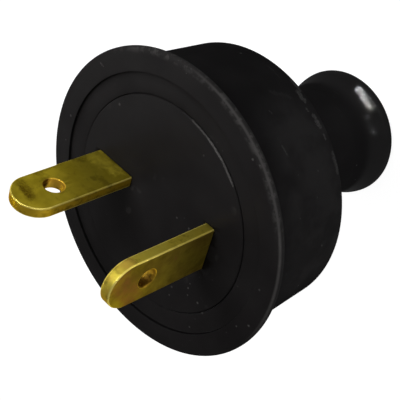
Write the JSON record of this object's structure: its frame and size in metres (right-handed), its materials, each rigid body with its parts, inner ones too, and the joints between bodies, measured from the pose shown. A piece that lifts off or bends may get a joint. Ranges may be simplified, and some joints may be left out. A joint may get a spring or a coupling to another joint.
{
  "type": "two-pin plug",
  "caption": "Rewirable mains plug: flat brass pins set at right angles in a round black rubber cover with a stepped face, a neck and a flared pull grip.",
  "frame": {"origin": "centre of the flat rear end of the pull grip, which the plug stands on", "axes": "+Z along the plug's axis towards the pins' tips, +X from the radial pin to the crosswise pin"},
  "size_m": [0.0396, 0.0396, 0.0528],
  "materials": {
    "cover_rubber": "moulded black rubber, matt, scuffed along the edges",
    "block_moulding": "moulded black, matt",
    "pin_brass": "blanked brass strip, tarnished",
    "terminal_brass": "plain brass"
  },
  "bodies": {
    "root": {"rubber_cover": "cover_rubber", "contact_block": "block_moulding", "radial_pin": "pin_brass", "crosswise_pin": "pin_brass", "radial_terminal_washer": "terminal_brass", "crosswise_terminal_washer": "terminal_brass", "radial_terminal_screw": "terminal_brass", "crosswise_terminal_screw": "terminal_brass"}
  },
  "joints": []
}
